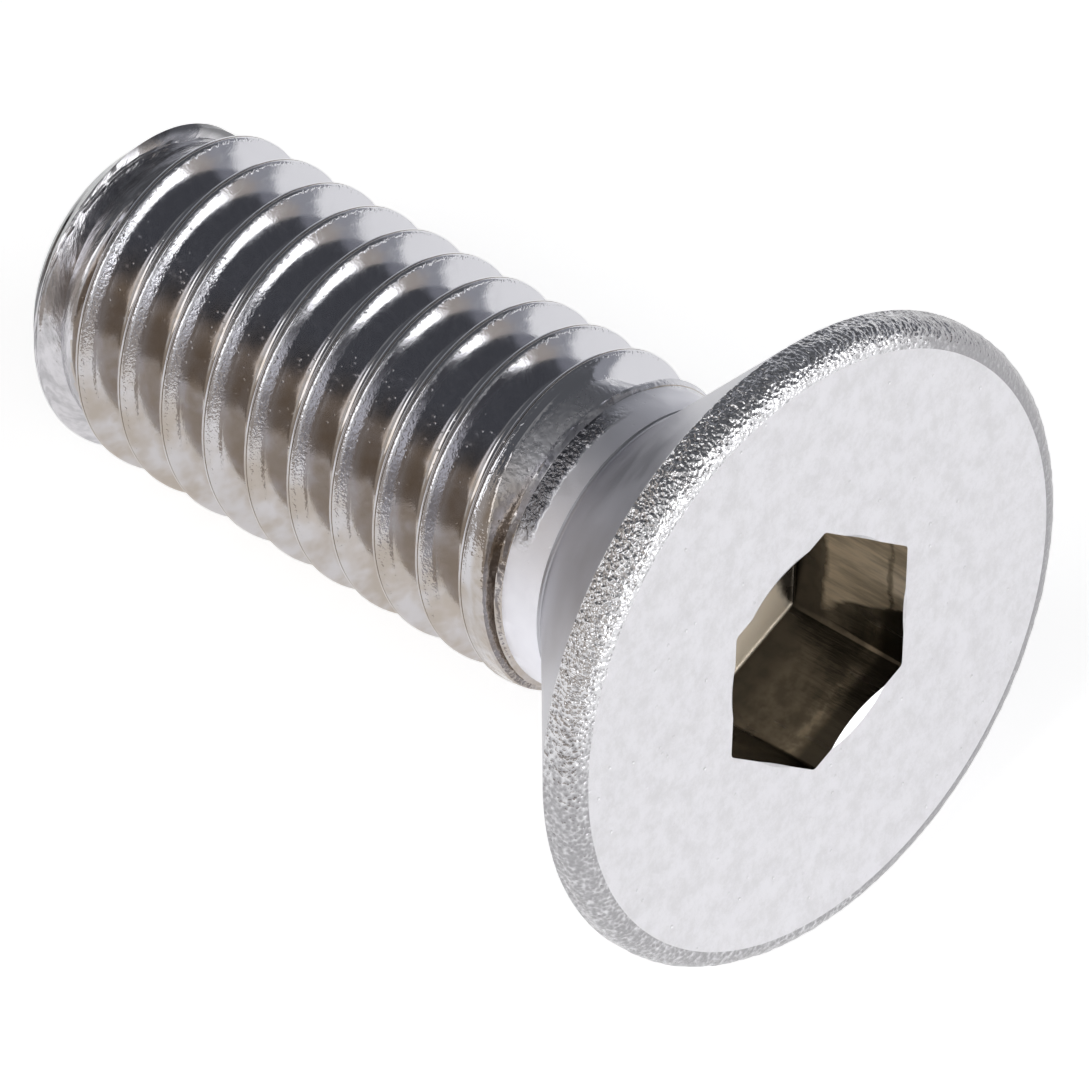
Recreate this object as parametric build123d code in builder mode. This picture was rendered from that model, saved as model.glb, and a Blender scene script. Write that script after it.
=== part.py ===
# Countersunk socket screw, M6 x 16: one cold-formed piece of stainless steel.
#
# The screw is drawn upright, with its axis on Z, the centre of its flat head face
# at the origin and its shank below. It is then laid down as it comes to rest on a
# table: on the rim of its head and on its last full thread.
import os
from math import atan2, ceil, cos, degrees, radians, sin, tan

from build123d import *

os.makedirs("parts", exist_ok=True)

# ---- Driving sizes, in millimetres and degrees; depths count from the head face

# Head: flat face, rounded rim, short land and conical seat
head_diameter = 11.6
rim_round = 0.4
land_depth = 0.62
seat_angle = 90

# Rolled right-hand metric thread
overall_length = 16
thread_diameter = 5.88
thread_pitch = 1
flank_angle = 60

# Plain neck between the seat and the thread, whose crests stand proud of it
crest_stand = 0.24
neck_length = 0.9
neck_fillet = 0.25
crest_entry_angle = 30
runout_angle = 25

# Chamfered end
tip_chamfer = 0.59
tip_angle = 45

# Hexagon socket with a flat floor and a chamfered mouth
socket_width = 4.02
socket_depth = 2.5
socket_turn = -14
mouth_step = 0.1
mouth_angle = 90

# How far a helper shape reaches past the surface that it meets
overlap = 0.06

# ---- Sizes that follow from these

head_radius = head_diameter / 2
thread_radius = thread_diameter / 2
neck_radius = thread_radius - crest_stand
tip_radius = thread_radius - tip_chamfer

neck_start = land_depth + (head_radius - neck_radius) / tan(radians(seat_angle / 2))
neck_end = neck_start + neck_length
crest_end = overall_length - tip_chamfer / tan(radians(tip_angle))

# ---- Thread form: the ISO basic profile, as shares of the pitch and of the height of
# its sharp triangle. Each flank is made of two strips, one above the other.

half_flank = radians(flank_angle / 2)
sharp_height = thread_pitch / (2 * tan(half_flank))
crest_rise = thread_pitch / 16
root_rise = thread_pitch * 3 / 8
root_radius = thread_radius - sharp_height * 5 / 8
flank_middle = ((thread_radius + root_radius) / 2, (crest_rise + root_rise) / 2)

rising_profile = [(thread_radius, crest_rise), flank_middle, (root_radius, root_rise)]
falling_profile = [(radius, thread_pitch - rise) for radius, rise in reversed(rising_profile)]
profile = [(thread_radius, -crest_rise)] + rising_profile + falling_profile

# The last full crest crosses the underside of the lying screw just short of the chamfer
last_crest = crest_end - 0.365 * thread_pitch
rod_start = neck_end - thread_pitch
rod_end = overall_length + thread_pitch
turns_past_end = ceil((rod_end - last_crest) / thread_pitch + 1)
turns_in_all = turns_past_end + ceil((last_crest - rod_start) / thread_pitch + 1)
winding_start = last_crest + thread_pitch * turns_past_end

# ---- Threaded rod: ruled strips between the helices of neighbouring profile points,
# cut square at both ends and closed with a flat face there

helices = [
    Edge.make_helix(
        pitch=thread_pitch,
        height=thread_pitch * turns_in_all,
        radius=radius,
        center=(0, 0, rise - winding_start),
    )
    for radius, rise in profile
]
strips = [
    Face.make_surface_from_curves(lower, upper)
    .split(Plane.XY.offset(-rod_end), keep=Keep.TOP)
    .split(Plane.XY.offset(-rod_start), keep=Keep.BOTTOM)
    for lower, upper in zip(helices, helices[1:])
]


def end_face(depth):
    """Close the rod across its axis, with the strips' ends at one depth as outline."""
    cuts = [strip.edges().filter_by_position(Axis.Z, -depth, -depth) for strip in strips]
    return Face(Wire([cut.sort_by(Edge.length)[0] for cut in cuts]))


threaded_rod = Solid(Shell(strips + [end_face(rod_end), end_face(rod_start)]))

# ---- Thread: the rod's crests rise along a cone behind the neck and end at a chamfer

cutter_radius = thread_radius + 1
entry_radius = neck_radius - overlap
entry_end = neck_end + (cutter_radius - entry_radius) / tan(radians(crest_entry_angle))
chamfer_start = overall_length - (cutter_radius - tip_radius) / tan(radians(tip_angle))

with BuildPart() as thread:
    with BuildSketch(Plane.XZ):
        with BuildLine():
            Polyline(
                (0, -neck_end),
                (entry_radius, -neck_end),
                (cutter_radius, -entry_end),
                (cutter_radius, -chamfer_start),
                (tip_radius, -overall_length),
                (0, -overall_length),
                close=True,
            )
        make_face()
    revolve(axis=Axis.Z)
    add(threaded_rod, mode=Mode.INTERSECT)

# ---- Head, neck and the cone on which the thread groove runs out

rim_corner = (head_radius, 0)
neck_corner = (neck_radius, -neck_start)
runout_radius = root_radius - overlap
runout_end = neck_end + (neck_radius - runout_radius) / tan(radians(runout_angle))

with BuildPart() as head:
    with BuildSketch(Plane.XZ) as outline:
        with BuildLine():
            Polyline(
                (0, 0),
                rim_corner,
                (head_radius, -land_depth),
                neck_corner,
                (neck_radius, -neck_end),
                (runout_radius, -runout_end),
                (0, -runout_end),
                close=True,
            )
        make_face()
        fillet(outline.vertices().sort_by_distance(rim_corner)[0], rim_round)
        fillet(outline.vertices().sort_by_distance(neck_corner)[0], neck_fillet)
    revolve(axis=Axis.Z)

# ---- Screw upright: head and thread as one piece, with the socket in the head

mouth_radius = socket_width / 2 + mouth_step
mouth_depth = mouth_radius / tan(radians(mouth_angle / 2))

with BuildPart() as upright:
    add(thread.part)
    add(head.part)
    with BuildSketch(Plane.XY):
        RegularPolygon(socket_width / 2, 6, major_radius=False, rotation=socket_turn)
    extrude(amount=-socket_depth, mode=Mode.SUBTRACT)
    with BuildSketch(Plane.XZ):
        with BuildLine():
            Polyline((0, 0), (mouth_radius, 0), (0, -mouth_depth), close=True)
        make_face()
    revolve(axis=Axis.Z, mode=Mode.SUBTRACT)

# ---- Screw at rest: the axis leans so that rim and last full crest touch the table

crest_contact = last_crest + thread_pitch / 16
rest_tilt = atan2(head_radius - thread_radius, crest_contact - land_depth)
face_height = head_radius * cos(rest_tilt) + land_depth * sin(rest_tilt)
reach_ahead = (head_radius - rim_round) * sin(rest_tilt) + rim_round * (1 - cos(rest_tilt))
reach_behind = overall_length * cos(rest_tilt) + tip_radius * sin(rest_tilt)

rest_plane = Plane(
    origin=((reach_behind - reach_ahead) / 2, 0, face_height),
    x_dir=(-sin(rest_tilt), 0, cos(rest_tilt)),
    z_dir=(cos(rest_tilt), 0, sin(rest_tilt)),
)

with BuildPart(rest_plane) as screw:
    add(upright.part)
screw.part.label = "screw"
export_step(screw.part, "parts/screw.step")

print(f"rest tilt {degrees(rest_tilt):.2f} degrees, volume {screw.part.volume:.1f} mm3")
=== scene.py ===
# Countersunk socket screw, M6 x 16: one cold-formed piece of stainless steel.
# It lies on a white table, on the rim of its head and on its last full thread.
from math import atan2, cos, degrees, hypot, pi, radians, sin, tan

import bmesh
import bpy
from mathutils import Matrix, Vector, noise


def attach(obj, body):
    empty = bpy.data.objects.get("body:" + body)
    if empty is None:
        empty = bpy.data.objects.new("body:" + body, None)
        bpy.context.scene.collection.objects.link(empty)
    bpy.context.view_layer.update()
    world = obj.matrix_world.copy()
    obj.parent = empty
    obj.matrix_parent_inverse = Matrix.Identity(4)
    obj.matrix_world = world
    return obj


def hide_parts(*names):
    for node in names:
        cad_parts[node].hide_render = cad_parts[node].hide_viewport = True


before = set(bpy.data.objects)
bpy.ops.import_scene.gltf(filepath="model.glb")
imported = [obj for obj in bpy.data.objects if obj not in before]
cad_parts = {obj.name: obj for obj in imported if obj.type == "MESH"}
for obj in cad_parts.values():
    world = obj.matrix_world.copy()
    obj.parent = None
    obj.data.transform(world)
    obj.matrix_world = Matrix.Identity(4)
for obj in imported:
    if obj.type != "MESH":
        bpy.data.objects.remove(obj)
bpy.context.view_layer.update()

scene = bpy.context.scene
bpy.ops.object.select_all(action="DESELECT")


# ---- Thread. Rolled on the shank, right-handed, 1 mm pitch: straight flanks with a
# rounded root and shoulders, and a crest where the metal closed over a hairline seam.
# It is drawn upright, head face at the origin and shank below, and laid down later.
mm = 0.001
pitch = 1.0 * mm
thread_radius = 2.94 * mm
neck_radius = 2.7 * mm
tip_radius = 2.35 * mm
length = 16.0 * mm
land_depth = 0.62 * mm
head_radius = 5.8 * mm
neck_start = land_depth + head_radius - neck_radius
neck_length = 0.9 * mm
neck_end = neck_start + neck_length
crest_end = length - (thread_radius - tip_radius)
# Where the middle of the last full crest crosses the side that the screw lies on
last_crest = crest_end - 0.365 * pitch

half_flank_angle = radians(30)
sharp_height = pitch / (2 * tan(half_flank_angle))
root_radius = thread_radius - sharp_height * 17 / 24
root_round = sharp_height / 6
arc_end_radius = root_radius + root_round * 0.5
arc_end_rise = root_round * cos(half_flank_angle)
crest_half = pitch / 16
seam_depth = 0.018 * mm
seam_half = 0.009 * mm
head_side_shoulder = 0.09 * mm
end_side_shoulder = 0.05 * mm


def flank_points(shoulder):
    """Give (radius, rise) from the crest's edge down one flank to the middle of the root."""
    flank = []
    for turn in (0, 12, 24, 36, 48, 60):
        fall = shoulder * (1 - cos(radians(turn)))
        out = shoulder * (sin(radians(turn)) - tan(half_flank_angle))
        flank.append((thread_radius - fall, crest_half + out))
    first = flank[-1][0]
    for step in (0.3, 0.6, 0.85, 1.0):
        radius = first + (arc_end_radius - first) * step
        rise = pitch / 2 - arc_end_rise - (radius - arc_end_radius) * tan(half_flank_angle)
        flank.append((radius, rise))
    for turn in (48, 36, 24, 12, 0):
        radius = root_radius + root_round * (1 - cos(radians(turn)))
        flank.append((radius, pitch / 2 - root_round * sin(radians(turn))))
    return flank


def thread_profile():
    """Give (radius, rise) points over one pitch, from one crest's seam to the next."""
    seam = [(thread_radius - seam_depth, 0.0), (thread_radius - 0.001 * mm, seam_half)]
    half = seam + flank_points(head_side_shoulder)
    other = seam + flank_points(end_side_shoulder)[:-1]
    return half + [(radius, pitch - rise) for radius, rise in reversed(other)]


# Wound from past the end towards the head, starting on the side that it lies on
steps_a_turn = 180
turns = 14
rod_end = last_crest + 2 * pitch
outline = bpy.data.meshes.new("screw")
points = thread_profile()
outline.from_pydata(
    [(-radius, 0, rise - rod_end) for radius, rise in points],
    [(number, number + 1) for number in range(len(points) - 1)],
    [],
)
screw = bpy.data.objects.new("screw", outline)
scene.collection.objects.link(screw)
bpy.context.view_layer.objects.active = screw
screw.select_set(True)
winding = screw.modifiers.new("winding", "SCREW")
winding.axis = "Z"
winding.angle = 2 * pi
winding.screw_offset = pitch
winding.iterations = turns
winding.steps = steps_a_turn
winding.render_steps = steps_a_turn
winding.use_merge_vertices = False
bpy.ops.object.modifier_apply(modifier="winding")

# Merged where the turns meet, and cut square at the screw's end and at the neck's
merge_gap = 0.0005 * mm
bpy.ops.object.mode_set(mode="EDIT")
bpy.ops.mesh.select_all(action="SELECT")
bpy.ops.mesh.remove_doubles(threshold=merge_gap)
for depth, above in ((length, False), (neck_end, True)):
    bpy.ops.mesh.select_all(action="SELECT")
    bpy.ops.mesh.bisect(
        plane_co=(0, 0, -depth),
        plane_no=(0, 0, 1),
        clear_outer=above,
        clear_inner=not above,
        threshold=0.0001 * mm,
    )

# Finer rings where the thread runs out
runout_length = 0.9 * mm
bpy.ops.mesh.select_mode(type="EDGE")
bpy.ops.mesh.select_all(action="DESELECT")
mesh = bmesh.from_edit_mesh(screw.data)
for edge in mesh.edges:
    first, second = (vertex.co for vertex in edge.verts)
    along = first.xy.angle(second.xy, 0.0) < radians(0.6)
    edge.select_set(along and neck_end < -(first.z + second.z) / 2 < neck_end + runout_length)
bmesh.update_edit_mesh(screw.data)
bpy.ops.mesh.subdivide(number_cuts=1)
bpy.ops.object.mode_set(mode="OBJECT")


def ease(value, low, high):
    """Rise smoothly from 0 to 1 between two values."""
    share = min(1.0, max(0.0, (value - low) / (high - low)))
    return share * share * (3 - 2 * share)


# The fold that the dies push up in front of the last full crest: where its crest passes
# the upper side, and how far from the axis its lip, groove, slope and edge stand
fold_crest = last_crest - 9.5 * pitch
lip_radius = 2.8 * mm
groove_radius = 2.61 * mm
slope_radius = 2.89 * mm
edge_radius = thread_radius - 0.01 * mm
rolled_over = 0.06 * mm


def runout_radius(radius, depth, turn):
    """Shape the fold: from the neck, a low lip, a groove, a slope, an edge and a crest."""
    crest = fold_crest - turn / 360 * pitch
    edge = crest - (0.2 + 0.22 * ease(turn, 22, 65)) * mm
    ahead = depth - neck_end
    groove = min(0.23 * mm, 0.65 * (edge - neck_end))
    lip = min(0.08 * mm, 0.4 * groove)
    if depth > crest - 0.05 * mm:
        return radius
    if depth > edge:
        return edge_radius
    if ahead < lip:
        return neck_radius + (lip_radius - neck_radius) * ease(ahead, 0, lip)
    if ahead < groove:
        return lip_radius + (groove_radius - lip_radius) * ease(ahead, lip, groove)
    if depth > edge - rolled_over:
        fall = (edge_radius - slope_radius) * ((edge - depth) / rolled_over) ** 2
        return edge_radius - fall
    climb = (ahead - groove) / max(edge - rolled_over - neck_end - groove, 0.01 * mm)
    return groove_radius + (slope_radius - groove_radius) * min(1.0, climb) ** 0.8


entry_slope = tan(radians(30))
runout_slope = tan(radians(25))
chamfer_slope = tan(radians(45))
worn_groove = 15.0 * mm
worn_radius = 2.62 * mm


def shank_radius(radius, depth, turn):
    """Hold a point of the thread between its run-out, its entry cone and its chamfer."""
    entry = neck_radius + (depth - neck_end) * entry_slope
    chamfer = tip_radius + (length - depth) * chamfer_slope
    runout = neck_radius - (depth - neck_end) * runout_slope
    held = max(min(radius, entry, chamfer), runout)
    if neck_end < depth < neck_end + 1.05 * mm:
        share = ease(turn, -45, -5) * (1 - ease(turn, 115, 160))
        held += (runout_radius(held, depth, turn) - held) * share
    # The last groove before the end is only about half as deep as the others
    worn_groove_and_painted_light = worn_radius - 0.1 * mm * ease(abs(depth - worn_groove), 0, 0.6 * mm)
    if depth > 14.1 * mm:
        held = max(held, min(worn_groove_and_painted_light, chamfer) * ease(depth, 14.1 * mm, 14.9 * mm))
    return held


for vertex in screw.data.vertices:
    radius = hypot(vertex.co.x, vertex.co.y)
    held = shank_radius(radius, -vertex.co.z, degrees(atan2(vertex.co.y, vertex.co.x)))
    vertex.co.x *= held / radius
    vertex.co.y *= held / radius


# ---- Head. Cold-headed on the same blank: a short neck with a fillet, a 90 degree seat,
# a narrow land, a rounded rim left rough by the die, and a flat face. It grows out of
# the thread's end ring by ring.
def select_loop(depth):
    """Select the boundary edges that lie at one depth below the head's face."""
    mesh = bmesh.from_edit_mesh(bpy.context.edit_object.data)
    for edge in mesh.edges:
        level = all(abs(vertex.co.z + depth) < merge_gap for vertex in edge.verts)
        edge.select_set(level and edge.is_boundary)
    mesh.select_flush_mode()
    bmesh.update_edit_mesh(bpy.context.edit_object.data)


def grow_rings(rings, radius_now, depth_now):
    """Extrude the selected loop ring by ring, each at its own radius and depth."""
    for radius, depth in rings:
        bpy.ops.mesh.extrude_edges_move(
            TRANSFORM_OT_translate={"value": (0, 0, depth_now - depth)}
        )
        growth = radius / radius_now
        bpy.ops.transform.resize(
            value=(growth, growth, 1), center_override=(0, 0, -depth)
        )
        radius_now, depth_now = radius, depth


fillet = 0.12 * mm
rim_round = 0.4 * mm
bend = fillet * tan(radians(22.5))
fillet_start = neck_start + bend
neck_groove = 0.02 * mm
seat_rings = [
    (neck_radius, fillet_start + 0.5 * mm),
    (neck_radius, fillet_start + 0.2 * mm),
    (neck_radius, fillet_start + 0.05 * mm),
    (neck_radius - neck_groove, fillet_start + 0.025 * mm),
]
for turn in (0, 9, 18, 27, 36, 45):
    away = fillet - fillet * cos(radians(turn))
    up = fillet * sin(radians(turn))
    seat_rings.append((neck_radius + away, fillet_start - up))
for share in (0.1, 0.25, 0.4, 0.55, 0.7, 0.85):
    reach = (head_radius - neck_radius) * share
    seat_rings.append((neck_radius + reach, neck_start - reach))
seat_rings.append((head_radius - 0.05 * mm, land_depth + 0.05 * mm))

rim_rings = [(head_radius - 0.008 * mm, land_depth + 0.008 * mm)]
for depth in (0.608, 0.56, 0.51, 0.46):
    rim_rings.append((head_radius, depth * mm))
for turn in (0, 8, 16, 24, 32, 40, 48, 56, 64, 72, 80, 88):
    inward = rim_round * (1 - cos(radians(turn)))
    rim_rings.append((head_radius - inward, rim_round * (1 - sin(radians(turn)))))
face_rings = [
    (radius * mm, 0.0) for radius in (5.38, 5.3, 5.0, 4.6, 4.2, 3.8, 3.4, 3.0, 2.7)
]

bpy.ops.object.mode_set(mode="EDIT")
bpy.ops.mesh.select_mode(type="EDGE")
bpy.ops.mesh.select_all(action="DESELECT")
select_loop(neck_end)
grow_rings(seat_rings, neck_radius, neck_end)

# Four times as many points round the rim and the face, back on a true circle
bpy.ops.mesh.subdivide(number_cuts=3)
bpy.ops.mesh.select_all(action="DESELECT")
seat_top = seat_rings[-1]
select_loop(seat_top[1])
mesh = bmesh.from_edit_mesh(screw.data)
for vertex in mesh.verts:
    if vertex.select:
        stretch = seat_top[0] / hypot(vertex.co.x, vertex.co.y)
        vertex.co.x *= stretch
        vertex.co.y *= stretch
bmesh.update_edit_mesh(screw.data)
grow_rings(rim_rings, *seat_top)
grow_rings(face_rings, *rim_rings[-1])
bpy.ops.mesh.edge_face_add()
bpy.ops.mesh.select_all(action="DESELECT")
select_loop(length)
bpy.ops.mesh.edge_face_add()
bpy.ops.mesh.select_all(action="SELECT")
bpy.ops.mesh.normals_make_consistent(inside=False)
bpy.ops.object.mode_set(mode="OBJECT")

# The die leaves the rim dented all over
rim_inside = 5.4 * mm
dents_per_metre = 5200
dent_share = 0.0032
for vertex in screw.data.vertices:
    depth = -vertex.co.z
    radius = hypot(vertex.co.x, vertex.co.y)
    if depth > land_depth or radius < rim_inside:
        continue
    grip = min(1.0, (land_depth - depth) / (0.06 * mm))
    grip *= min(1.0, (radius - rim_inside) / (0.03 * mm))
    dent = abs(noise.turbulence(vertex.co * dents_per_metre, 2, False) - 0.6)
    push = 1 - dent_share * grip * dent
    vertex.co.x *= push
    vertex.co.y *= push


# ---- Hexagon socket. Punched into the head: six walls with rounded edges, a flat floor
# and a chamfered mouth, a little wider one way than the other, 4 mm across the flats.
socket_width = 4.02 * mm
socket_depth = 2.5 * mm
socket_turn = radians(16)
socket_edge = 0.06 * mm
mouth_radius = 2.15 * mm
mouth_slope = tan(radians(33))
mouth_squeeze = 0.945


def cut_away(cutter):
    """Cut one closed mesh out of the screw, and throw it away."""
    bpy.context.view_layer.objects.active = screw
    cutting = screw.modifiers.new("cutting", "BOOLEAN")
    cutting.operation = "DIFFERENCE"
    cutting.solver = "EXACT"
    cutting.object = cutter
    bpy.ops.object.modifier_apply(modifier="cutting")
    bpy.data.objects.remove(cutter)


bpy.ops.object.select_all(action="DESELECT")
bpy.ops.mesh.primitive_cylinder_add(
    vertices=6,
    radius=socket_width / 2 / cos(pi / 6),
    depth=2 * socket_depth,
    rotation=(0, 0, socket_turn),
)
hexagon = bpy.context.object
bpy.ops.object.transform_apply(location=True, rotation=True, scale=True)
bpy.ops.object.mode_set(mode="EDIT")
bpy.ops.mesh.select_all(action="SELECT")
bpy.ops.mesh.bevel(offset=socket_edge, segments=3, affect="EDGES")
bpy.ops.object.mode_set(mode="OBJECT")
flare = mouth_radius + 0.4 * mm
drop = flare * mouth_slope
bpy.ops.mesh.primitive_cone_add(
    vertices=180,
    radius1=0,
    radius2=flare,
    depth=drop,
    rotation=(0, 0, socket_turn),
    scale=(1, mouth_squeeze, 1),
    location=(0.01 * mm, 0.003 * mm, (flare - mouth_radius) * mouth_slope - drop / 2),
)
mouth = bpy.context.object
bpy.ops.object.transform_apply(location=True, rotation=True, scale=True)
cut_away(hexagon)
cut_away(mouth)


# ---- Steel. One stainless steel, with a finish for each tool that shaped it: rolled
# bright on the thread, matt on the face, coarse on the rim, drawn in the socket. Each
# reads a point's place on the upright screw, in mm, and its angle, in radians.
def add_node(tree, kind, settings=(), **links):
    """Add a node, set its properties, and feed or set its inputs, by name or as iNUMBER."""
    node = tree.nodes.new(kind)
    for label, value in settings:
        setattr(node, label, value)
    for label, value in links.items():
        name = label.replace("_", " ")
        socket = node.inputs[int(name[1:])] if name[1:].isdigit() else node.inputs[name]
        if isinstance(value, bpy.types.NodeSocket):
            tree.links.new(value, socket)
        else:
            socket.default_value = value
    return node


def calc(tree, operation, first, second=0.0, third=0.0, clamp=False):
    """Add a Math node and return its result."""
    settings = (("operation", operation), ("use_clamp", clamp))
    return add_node(tree, "ShaderNodeMath", settings, i0=first, i1=second, i2=third).outputs[0]


def product(tree, first, *others):
    """Multiply values one after another."""
    for other in others:
        first = calc(tree, "MULTIPLY", first, other)
    return first


def plus(tree, base, value, factor=1.0):
    """Add a value, times a factor, to a base."""
    return calc(tree, "MULTIPLY_ADD", value, factor, base)


def ramp(tree, value, low, high, start=0.0, end=1.0):
    """Map a value smoothly from one range to another."""
    settings = (("interpolation_type", "SMOOTHSTEP"),)
    node = add_node(tree, "ShaderNodeMapRange", settings, Value=value)
    node.inputs["From Min"].default_value = low
    node.inputs["From Max"].default_value = high
    node.inputs["To Min"].default_value = start
    node.inputs["To Max"].default_value = end
    return node.outputs["Result"]


def noise_at(tree, place, scale, detail, roughness):
    """Add a noise texture, its scale in waves per mm, and return its value."""
    return add_node(
        tree,
        "ShaderNodeTexNoise",
        Vector=place,
        Scale=scale,
        Detail=detail,
        Roughness=roughness,
    ).outputs["Fac"]


def reach_towards(tree, place, bearing):
    """Give how far a point lies from the axis in one direction, in mm."""
    direction = (cos(radians(bearing)), sin(radians(bearing)), 0)
    settings = (("operation", "DOT_PRODUCT"),)
    node = add_node(tree, "ShaderNodeVectorMath", settings, i0=place, i1=direction)
    return node.outputs["Value"]


# Grain: pits and smears that every tool leaves, at its own size and strength
grain = bpy.data.node_groups.new("tool_grain", "ShaderNodeTree")
for label, kind, value in (
    ("Place", "NodeSocketVector", None),
    ("Fine", "NodeSocketFloat", 30.0),
    ("Coarse", "NodeSocketFloat", 6.0),
    ("Pits", "NodeSocketFloat", 0.3),
    ("Pit Size", "NodeSocketFloat", 10.0),
):
    socket = grain.interface.new_socket(label, in_out="INPUT", socket_type=kind)
    if value is not None:
        socket.default_value = value
for label in ("Height", "Cloud", "Pit"):
    grain.interface.new_socket(label, in_out="OUTPUT", socket_type="NodeSocketFloat")
given = grain.nodes.new("NodeGroupInput").outputs
result = grain.nodes.new("NodeGroupOutput").inputs
fine = noise_at(grain, given["Place"], given["Fine"], 4.0, 0.6)
coarse = noise_at(grain, given["Place"], given["Coarse"], 3.0, 0.55)
cells = add_node(
    grain,
    "ShaderNodeTexVoronoi",
    (("feature", "F1"),),
    Vector=given["Place"],
    Scale=given["Pit Size"],
).outputs
lot = add_node(grain, "ShaderNodeSeparateColor", Color=cells["Color"]).outputs[0]
chosen = calc(grain, "LESS_THAN", lot, given["Pits"])
pit = product(grain, ramp(grain, cells["Distance"], 0.05, 0.3, 1.0, 0.0), chosen)
smears = plus(grain, product(grain, fine, 0.4), coarse, 0.6)
grain.links.new(calc(grain, "SUBTRACT", smears, pit), result["Height"])
grain.links.new(coarse, result["Cloud"])
grain.links.new(pit, result["Pit"])


def new_finish(name):
    """Start a metallic finish, and read where a point lies on the upright screw, in mm."""
    finish = bpy.data.materials.new(name)
    finish.use_nodes = True
    tree = finish.node_tree
    surface = tree.nodes["Principled BSDF"]
    surface.inputs["Metallic"].default_value = 1
    settings = (("attribute_name", "upright"),)
    place = add_node(tree, "ShaderNodeAttribute", settings).outputs["Vector"]
    return finish, tree, surface, place


def depth_of(tree, place):
    """Give how far a point lies below the head's face, in mm."""
    axes = add_node(tree, "ShaderNodeSeparateXYZ", Vector=place).outputs
    return product(tree, axes["Z"], -1.0)


def turn_of(tree, place):
    """Give the angle of a point round the axis, in radians, from the upper side."""
    axes = add_node(tree, "ShaderNodeSeparateXYZ", Vector=place).outputs
    return calc(tree, "ARCTAN2", axes["Y"], axes["X"])


def grained(tree, place, fine, coarse, pits, pit_size):
    """Add the grain group at one place, with its sizes in waves per mm."""
    node = tree.nodes.new("ShaderNodeGroup")
    node.node_tree = grain
    tree.links.new(place, node.inputs["Place"])
    node.inputs["Fine"].default_value = fine
    node.inputs["Coarse"].default_value = coarse
    node.inputs["Pits"].default_value = pits
    node.inputs["Pit Size"].default_value = pit_size
    return node.outputs


def finish_up(tree, surface, dark, light, mask, rough, height, relief_mm):
    """Colour between two tints by a mask, and feed roughness and relief to the surface."""
    tint = add_node(tree, "ShaderNodeMix", (("data_type", "RGBA"),))
    tree.links.new(mask, tint.inputs["Factor"])
    tint.inputs[6].default_value = (*dark, 1)
    tint.inputs[7].default_value = (*light, 1)
    tree.links.new(tint.outputs[2], surface.inputs["Base Color"])
    tree.links.new(rough, surface.inputs["Roughness"])
    bump = add_node(tree, "ShaderNodeBump", Height=height)
    bump.inputs["Strength"].default_value = 1.0
    bump.inputs["Distance"].default_value = relief_mm * mm
    tree.links.new(bump.outputs["Normal"], surface.inputs["Normal"])


# Thread: bright, with a seam along the crest, a ragged crest edge on the head side and a
# scatter of small dents,
# and painted shade: browner on the flanks and roots away from the upper side, darker on the
# lower side and in the seam. Its phase runs from crest to crest.
rolled, tree, surface, place = new_finish("rolled_thread")
depth, turn = depth_of(tree, place), turn_of(tree, place)
out = grained(tree, place, 26.0, 4.0, 0.2, 11.0)
phase_start = rod_end / mm + 0.5
climbed = calc(tree, "MULTIPLY_ADD", turn, -0.5 / pi, phase_start)
phase = calc(tree, "FRACT", calc(tree, "SUBTRACT", climbed, depth))
off_seam = calc(tree, "MINIMUM", phase, calc(tree, "SUBTRACT", 1.0, phase))
# The crest's seam: a groove in the relief, and painted shade in the colour
seam_groove_and_shade = ramp(tree, off_seam, 0.006, 0.016, 1.0, 0.0)

ragged = noise_at(tree, place, 13.0, 2.0, 0.6)
edge_place = plus(tree, calc(tree, "SUBTRACT", phase, 0.06), ragged, 0.12)
edge_step = product(
    tree,
    ramp(tree, edge_place, 0.06, 0.09, 1.0, 0.0),
    ramp(tree, phase, 0.3, 0.4, 1.0, 0.0),
)
near_crest = product(
    tree,
    ramp(tree, phase, 0.16, 0.2, 1.0, 0.0),
    ragged,
    ramp(tree, turn, 0.2, 0.7, 0.1, 1.0),
)
fold_crumbs = product(
    tree,
    noise_at(tree, place, 9.0, 2.0, 0.5),
    ramp(tree, depth, 5.2, 5.35, 2.4, 0.0),
)
nicks = product(
    tree,
    out["Pit"],
    ramp(tree, turn, 0.75, 1.15, -1.0, -0.15),
    ramp(tree, turn, 0.1, 0.35),
)
relief = plus(tree, plus(tree, nicks, near_crest, 1.3), edge_step)
relief = calc(tree, "SUBTRACT", relief, product(tree, seam_groove_and_shade, 1.4))
relief = plus(tree, relief, calc(tree, "ADD", out["Height"], out["Pit"]), 0.3)
relief = calc(tree, "ADD", fold_crumbs, relief)

# Painted shade: the flanks and roots go browner, patchily, more so away from the upper side
painted_shade = product(
    tree,
    ramp(tree, phase, 0.12, 0.3),
    ramp(tree, phase, 0.78, 0.93, 1.0, 0.0),
    ramp(tree, out["Cloud"], 0.3, 0.7, 0.6, 1.0),
    ramp(tree, turn, 0.35, 0.8),
)
# Painted shade: the lower side goes darker, patchily
lower_side_shade = product(
    tree,
    ramp(tree, turn, 0.9, 1.4),
    ramp(tree, noise_at(tree, place, 1.1, 3.0, 0.6), 0.35, 0.65, 0.35, 1.0),
)
painted_shade = calc(tree, "MAXIMUM", painted_shade, lower_side_shade)
dulled = product(
    tree,
    ramp(tree, depth, 5.15, 5.3, 0.16, 0.0),
    ramp(tree, turn, 0.55, 0.9, 1.0, 0.0),
)
rough = calc(tree, "ADD", dulled, ramp(tree, out["Cloud"], 0.35, 0.7, 0.1, 0.17))
# Share of the unshaded colour, less the painted shade and the seam's painted shade
bright = calc(tree, "SUBTRACT", calc(tree, "SUBTRACT", 1.0, painted_shade), seam_groove_and_shade, clamp=True)
# The painted shade's brown, and the steel's own colour
shaded_steel, unshaded_steel = (0.42, 0.375, 0.335), (0.60, 0.60, 0.635)
finish_up(tree, surface, shaded_steel, unshaded_steel, bright, rough, relief, 0.006)

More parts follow.
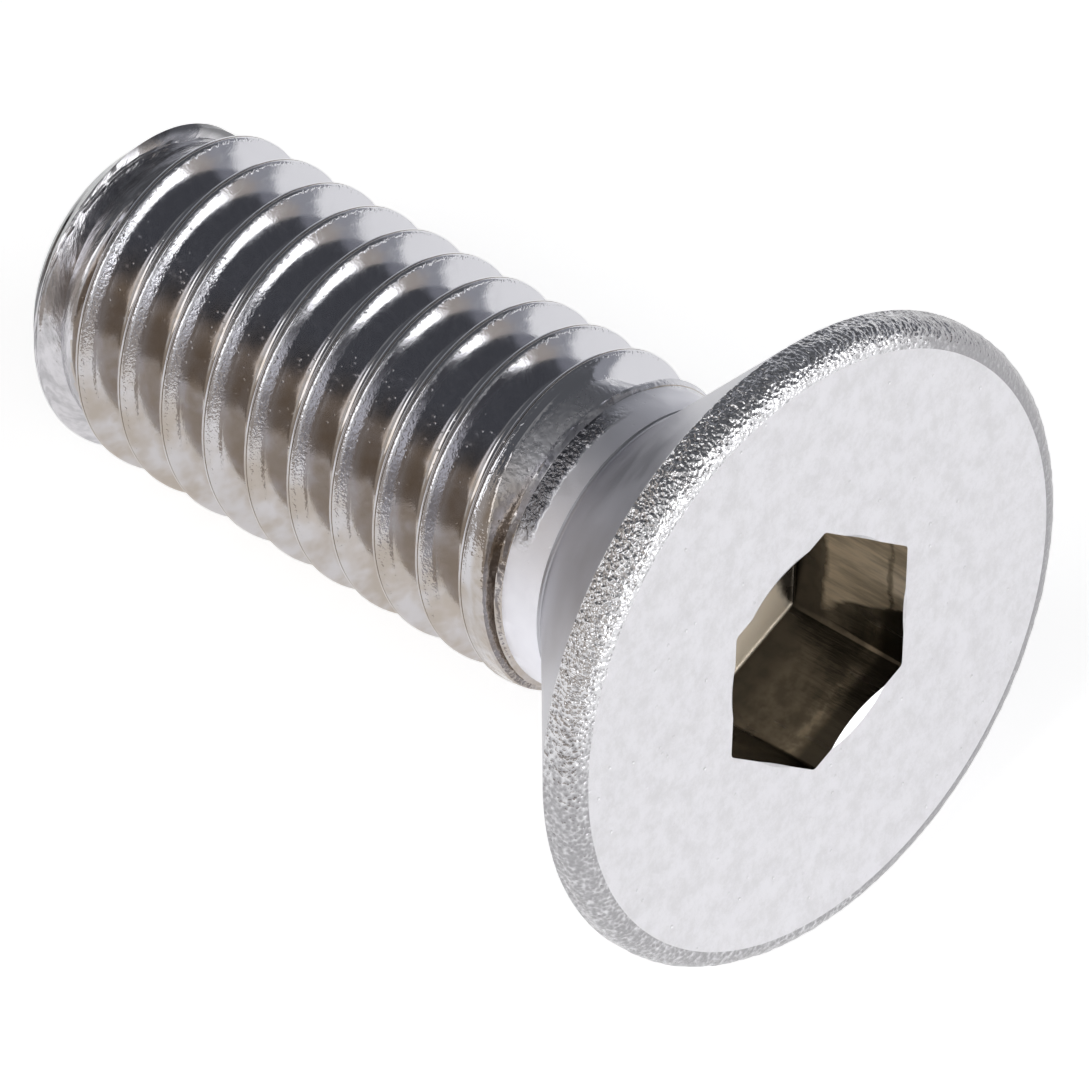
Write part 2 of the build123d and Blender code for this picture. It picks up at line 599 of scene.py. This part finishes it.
# Tip: sheared end and chamfer, streaked round the axis, with a line where the dies
# pinched it
turned, tree, surface, place = new_finish("turned_tip")
depth, turn = depth_of(tree, place), turn_of(tree, place)
axes = add_node(tree, "ShaderNodeSeparateXYZ", Vector=place).outputs
squares = [product(tree, axes[label], axes[label]) for label in ("X", "Y")]
across = calc(tree, "SQRT", calc(tree, "ADD", *squares))
band = add_node(
    tree,
    "ShaderNodeCombineXYZ",
    X=product(tree, axes["X"], 0.12),
    Y=product(tree, axes["Y"], 0.12),
    Z=plus(tree, calc(tree, "ADD", axes["Z"], across), turn, 0.16),
).outputs["Vector"]
out = grained(tree, place, 18.0, 5.0, 0.2, 6.0)
streak = noise_at(tree, band, 17.0, 3.0, 0.6)
rough = ramp(tree, out["Cloud"], 0.3, 0.7, 0.13, 0.22)
wobble = plus(tree, depth, noise_at(tree, place, 1.6, 1.0, 0.5), 0.05)
pinch = product(
    tree,
    ramp(tree, wobble, 15.36, 15.385),
    ramp(tree, wobble, 15.385, 15.41, 1.0, 0.0),
    ramp(tree, noise_at(tree, place, 2.2, 1.0, 0.5), 0.35, 0.6),
)
relief = plus(tree, plus(tree, product(tree, out["Height"], 0.12), pinch, 1.3), streak, 0.8)
# Lighter and streaked up to the pinch line; the chamfer and the end past it are coloured dark
lighter_share = product(
    tree,
    ramp(tree, streak, 0.35, 0.65, 0.6, 1.0),
    ramp(tree, wobble, 15.42, 15.5, 1.0, 0.0),
)
dark_end_steel, tip_steel = (0.20, 0.20, 0.21), (0.62, 0.61, 0.635)
finish_up(tree, surface, dark_end_steel, tip_steel, lighter_share, rough, relief, 0.014)

# Neck: drawn smooth, roughened where the rolling dies stopped, and coloured dark there as
# painted shade
drawn, tree, surface, place = new_finish("drawn_neck")
depth, turn = depth_of(tree, place), turn_of(tree, place)
out = grained(tree, place, 24.0, 4.0, 0.08, 9.0)
side = product(
    tree, ramp(tree, turn, -0.25, 0.1), ramp(tree, turn, 0.72, 1.0, 1.0, 0.0)
)
torn_and_shaded = product(tree, ramp(tree, plus(tree, depth, out["Cloud"], 0.16), 4.3, 4.42), side)
crumbs = product(tree, noise_at(tree, place, 10.0, 2.0, 0.5), 7.5)
relief = calc(tree, "MULTIPLY_ADD", torn_and_shaded, crumbs, product(tree, out["Height"], 0.3))
rough = plus(tree, ramp(tree, out["Cloud"], 0.3, 0.7, 0.48, 0.58), torn_and_shaded, -0.36)
# Painted shade: the torn patch is coloured dark
smooth_unshaded = calc(tree, "SUBTRACT", 1.0, torn_and_shaded, clamp=True)
torn_shade_steel, drawn_steel = (0.25, 0.25, 0.27), (0.85, 0.85, 0.90)
finish_up(tree, surface, torn_shade_steel, drawn_steel, smooth_unshaded, rough, relief, 0.018)

# Seat: the cone, satin
satin, tree, surface, place = new_finish("satin_seat")
out = grained(tree, place, 16.0, 1.1, 0.012, 7.0)
rough = ramp(tree, out["Cloud"], 0.3, 0.7, 0.3, 0.38)
cloudy = ramp(tree, out["Cloud"], 0.35, 0.65)
dark_satin, light_satin = (0.42, 0.42, 0.455), (0.485, 0.485, 0.525)
finish_up(tree, surface, dark_satin, light_satin, cloudy, rough, out["Height"], 0.008)

# Rim: hammered by the die, less deeply on its two sides, with painted shade in the dents and
# painted highlights on the ridges, so that its two sides come out darker
dented, tree, surface, place = new_finish("dented_rim")
turn = turn_of(tree, place)
out = grained(tree, place, 14.0, 6.0, 0.0, 9.0)
cells = add_node(
    tree,
    "ShaderNodeTexVoronoi",
    (("feature", "SMOOTH_F1"),),
    Vector=place,
    Scale=13.0,
    Smoothness=0.15,
).outputs
dents = plus(tree, cells["Distance"], noise_at(tree, place, 12.0, 2.0, 0.5), 1.6)
# Shallower dents on the two sides, which also come out darker in colour
softer_darker_sides = product(
    tree,
    ramp(tree, turn, 0.8, 1.5, 1.0, 0.6),
    ramp(tree, turn, -0.9, -0.2, 0.45, 1.0),
)
dents = product(tree, dents, softer_darker_sides)
rough = ramp(tree, out["Cloud"], 0.3, 0.7, 0.12, 0.2)
# Painted shade in the dents and painted highlights on the ridges
ridge_highlight_share = ramp(tree, dents, 0.6, 1.3)
dent_shade_steel, ridge_highlight_steel = (0.34, 0.335, 0.35), (0.68, 0.68, 0.70)
finish_up(tree, surface, dent_shade_steel, ridge_highlight_steel, ridge_highlight_share, rough, dents, 0.024)

# Face: matt, mottled and finely pitted
matt, tree, surface, place = new_finish("matt_face")
out = grained(tree, place, 22.0, 1.2, 0.06, 7.0)
rough = ramp(tree, out["Cloud"], 0.3, 0.7, 0.38, 0.5)
cloudy = ramp(tree, noise_at(tree, place, 2.2, 6.0, 0.8), 0.35, 0.62)
mottle = calc(tree, "SUBTRACT", cloudy, product(tree, out["Pit"], 0.7), clamp=True)
dark_matt, light_matt = (0.635, 0.63, 0.65), (0.71, 0.705, 0.735)
finish_up(tree, surface, dark_matt, light_matt, mottle, rough, out["Height"], 0.013)

# Mouth: the lower side of the socket's chamfer, where the light falls, pressed smooth and
# coloured a little lighter than the face as a painted highlight
pressed_lit, tree, surface, place = new_finish("pressed_lit_mouth")
out = grained(tree, place, 24.0, 3.0, 0.05, 8.0)
rough = ramp(tree, out["Cloud"], 0.3, 0.7, 0.2, 0.3)
dark_lit_mouth, light_lit_mouth = (0.68, 0.68, 0.69), (0.78, 0.78, 0.80)
finish_up(
    tree, surface, dark_lit_mouth, light_lit_mouth, out["Cloud"], rough, out["Height"], 0.004
)

# Socket: walls drawn by the punch, coloured near black as painted shade, but for painted
# light: one wall lit a dull gold down to a rubbed edge, a band just below the mouth and most
# of the floor
gold_wall_bearing = 256
facing_wall_bearing = 196
punched, tree, surface, place = new_finish("punched_socket")
depth = depth_of(tree, place)
stretch = add_node(tree, "ShaderNodeMapping", Vector=place)
stretch.inputs["Scale"].default_value = (1.0, 1.0, 0.1)
out = grained(tree, stretch.outputs["Vector"], 16.0, 3.0, 0.0, 5.0)
patches = noise_at(tree, place, 3.0, 3.0, 0.6)
gold_wall = reach_towards(tree, place, gold_wall_bearing)
along = reach_towards(tree, place, gold_wall_bearing - 90)
facing_wall = reach_towards(tree, place, facing_wall_bearing)

rub_edge = plus(tree, plus(tree, along, depth, -0.44), out["Cloud"], 0.5)
skip = plus(tree, depth, patches, 0.35)
skip = calc(tree, "ABSOLUTE", calc(tree, "SUBTRACT", skip, 0.52))
# Painted light: the gold wall lit from the mouth, down to a ragged rubbed edge
rubbed_and_lit = product(
    tree,
    ramp(tree, gold_wall, 1.9, 1.97),
    ramp(tree, rub_edge, 0.22, 0.36, 1.0, 0.0),
    ramp(tree, plus(tree, depth, patches, 0.3), 1.85, 2.05, 1.0, 0.0),
    ramp(tree, skip, 0.01, 0.1, 0.45, 1.0),
    ramp(tree, out["Height"], 0.35, 0.6, 0.45, 0.9),
)
# Painted light: a lighter band just below the mouth, fading deeper
worn_groove_and_painted_light = product(
    tree,
    ramp(tree, depth, 0.35, 0.62),
    ramp(tree, depth, 0.68, 0.95, 0.42, 0.16),
    ramp(tree, depth, 1.6, 2.1, 1.0, 0.3),
    ramp(tree, patches, 0.35, 0.65, 0.25, 0.75),
)
# How near a point lies to the gold wall and the facing wall
near_walls = plus(tree, plus(tree, gold_wall, facing_wall, -0.5), patches, 0.25)
# Painted light on the floor, with painted shade near the two walls
lit_floor = product(
    tree, ramp(tree, depth, 2.44, 2.49), ramp(tree, near_walls, 0.98, 1.2, 1.0, 0.1)
)
# Share of the painted light
lighter_share = calc(tree, "MAXIMUM", worn_groove_and_painted_light, rubbed_and_lit)
lighter_share = calc(tree, "MAXIMUM", lighter_share, lit_floor, clamp=True)
rough = plus(
    tree,
    ramp(tree, out["Cloud"], 0.3, 0.7, 0.18, 0.28),
    calc(tree, "MAXIMUM", rubbed_and_lit, lit_floor),
    0.35,
)
relief = product(tree, out["Height"], ramp(tree, depth, 2.4, 2.46, 1.0, 0.1))
# Near black for painted shade, gold for painted light
socket_shade_steel, lit_gold_steel = (0.085, 0.078, 0.068), (0.98, 0.88, 0.73)
finish_up(tree, surface, socket_shade_steel, lit_gold_steel, lighter_share, rough, relief, 0.006)


# ---- Rest. Every facet gets its finish, and the screw is laid down on its rim and its
# last full crest, with its head towards +X.
upright = screw.data.attributes.new("upright", "FLOAT_VECTOR", "POINT")
for vertex, value in zip(screw.data.vertices, upright.data):
    value.vector = vertex.co / mm

skin = 0.01 * mm
face_skin = 0.004 * mm
socket_reach = 2.37 * mm
mouth_bottom = 0.4 * mm
lit_side_from = 1.75 * mm
tip_start = crest_end - 0.55 * mm
bearing = radians(facing_wall_bearing)
finishes = [rolled, turned, drawn, satin, dented, matt, pressed_lit, punched]
for finish in finishes:
    screw.data.materials.append(finish)
for polygon in screw.data.polygons:
    depth = -polygon.center.z
    radius = hypot(polygon.center.x, polygon.center.y)
    if radius < socket_reach and depth < socket_depth + skin:
        kind = punched if depth > face_skin else matt
        if depth < mouth_bottom and 0.5 < abs(polygon.normal.z) < 0.95:
            reach = polygon.center.x * cos(bearing) + polygon.center.y * sin(bearing)
            # The lower side of the mouth takes the smoother finish with the painted highlight
            kind = pressed_lit if reach > lit_side_from else matt
    elif depth > tip_start:
        kind = turned
    elif depth > neck_end:
        kind = rolled
    elif depth > neck_start + 0.1 * mm:
        kind = drawn
    elif depth > land_depth:
        kind = satin
    elif radius > rim_inside - skin:
        kind = dented
    else:
        kind = matt
    polygon.material_index = finishes.index(kind)

bpy.ops.object.select_all(action="DESELECT")
screw.select_set(True)
bpy.context.view_layer.objects.active = screw
bpy.ops.object.shade_smooth_by_angle(angle=radians(28))
# At this tilt and height the rim and the last full crest both touch the table
rest_tilt = radians(11.16726)
face_centre = Vector((7.5493886 * mm, 0, 5.8102605 * mm))
screw.matrix_world = Matrix((
    (-sin(rest_tilt), 0, cos(rest_tilt), face_centre.x),
    (0, -1, 0, 0),
    (cos(rest_tilt), 0, sin(rest_tilt), face_centre.z),
    (0, 0, 0, 1),
))
bpy.ops.object.transform_apply(location=True, rotation=True, scale=True)
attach(screw, "root")
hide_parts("screw")


# ---- Table and studio. A white table inside a light tent, whose panels are white,
# grey or black, so that the bright steel has something to show.
table_drop = 0.01 * mm
bpy.ops.mesh.primitive_circle_add(
    vertices=96, radius=0.5, fill_type="NGON", location=(0, 0, -table_drop)
)
table = bpy.context.object
table.name = "table"
white = bpy.data.materials.new("white_table")
white.use_nodes = True
tree = white.node_tree
surface = tree.nodes["Principled BSDF"]
surface.inputs["Base Color"].default_value = (0.8, 0.8, 0.8, 1)
surface.inputs["Roughness"].default_value = 1.0
surface.inputs["Specular IOR Level"].default_value = 0.0
surface.inputs["Emission Color"].default_value = (1, 1, 1, 1)
glow_seen = 0.68
path = tree.nodes.new("ShaderNodeLightPath").outputs
seen = calc(tree, "ADD", path["Is Camera Ray"], path["Is Glossy Ray"])
seen = calc(tree, "ADD", seen, path["Is Transmission Ray"], clamp=True)
tree.links.new(product(tree, seen, glow_seen), surface.inputs["Emission Strength"])
table.data.materials.append(white)

bpy.ops.mesh.primitive_uv_sphere_add(segments=36, ring_count=18, radius=0.6)
tent = bpy.context.object
tent.name = "light_tent"
bpy.ops.object.mode_set(mode="EDIT")
bpy.ops.mesh.select_all(action="SELECT")
bpy.ops.mesh.bisect(plane_co=(0, 0, -0.02), plane_no=(0, 0, 1), clear_inner=True)
bpy.ops.mesh.select_all(action="SELECT")
bpy.ops.mesh.flip_normals()
bpy.ops.object.mode_set(mode="OBJECT")

# Azimuth from, to, elevation from, to, brightness, tint; later panels cover earlier ones
white_cloth, warm_cloth = (1, 1, 1), (1, 0.9, 0.81)
cool_cloth, black_cloth = (0.9, 0.92, 1), (0.9, 0.93, 1)
panels = [
    (-180, 180, -5, 90, 0.45, warm_cloth),
    (50, 180, -5, 90, 0.42, cool_cloth),
    (50, 180, 20, 90, 0.13, black_cloth),
    (-180, -130, 30, 90, 0.13, black_cloth),
    (-60, 50, 45, 90, 0.13, black_cloth),
    (-120, -80, 30, 80, 2.0, white_cloth),
    (-20, 50, 30, 70, 0.3, white_cloth),
    (-70, -10, 25, 60, 0.75, white_cloth),
    (-10, 40, 0, 30, 2.8, white_cloth),
]
for *_, brightness, tint in panels:
    cloth = bpy.data.materials.new("tent_panel")
    cloth.use_nodes = True
    nodes = cloth.node_tree.nodes
    nodes.clear()
    glow = add_node(
        cloth.node_tree, "ShaderNodeEmission", Color=(*tint, 1), Strength=brightness
    )
    ending = nodes.new("ShaderNodeOutputMaterial")
    cloth.node_tree.links.new(glow.outputs[0], ending.inputs["Surface"])
    cloth.cycles.emission_sampling = "NONE"
    tent.data.materials.append(cloth)
for polygon in tent.data.polygons:
    centre = polygon.center
    azimuth = degrees(atan2(centre.y, centre.x))
    elevation = degrees(atan2(centre.z, hypot(centre.x, centre.y)))
    for number, (azimuth_from, azimuth_to, low, high, *_) in enumerate(panels):
        if azimuth_from <= azimuth <= azimuth_to and low <= elevation <= high:
            polygon.material_index = number
tent.visible_camera = False

world = bpy.data.worlds.new("studio")
scene.world = world
world.use_nodes = True
sky = world.node_tree.nodes["Background"].inputs
sky["Color"].default_value = (1, 1, 1, 1)
sky["Strength"].default_value = 1.0
world.cycles.sampling_method = "NONE"


# ---- Camera. A long lens above the head and to one side of it, looking down along
# the screw, so that the face, the socket and the thread all show.
camera_data = bpy.data.cameras.new("camera")
camera_data.sensor_width = 36
camera_data.lens = 572.99
camera_data.clip_start = 0.01
camera_data.clip_end = 20
camera = bpy.data.objects.new("camera", camera_data)
scene.collection.objects.link(camera)
camera.location = (126.0531 * mm, -131.3344 * mm, 225.9321 * mm)
looking = Vector((-0.43452695, 0.45769116, -0.77569663))
camera.rotation_euler = looking.to_track_quat("-Z", "Y").to_euler()
scene.camera = camera
scene.view_settings.view_transform = "Standard"
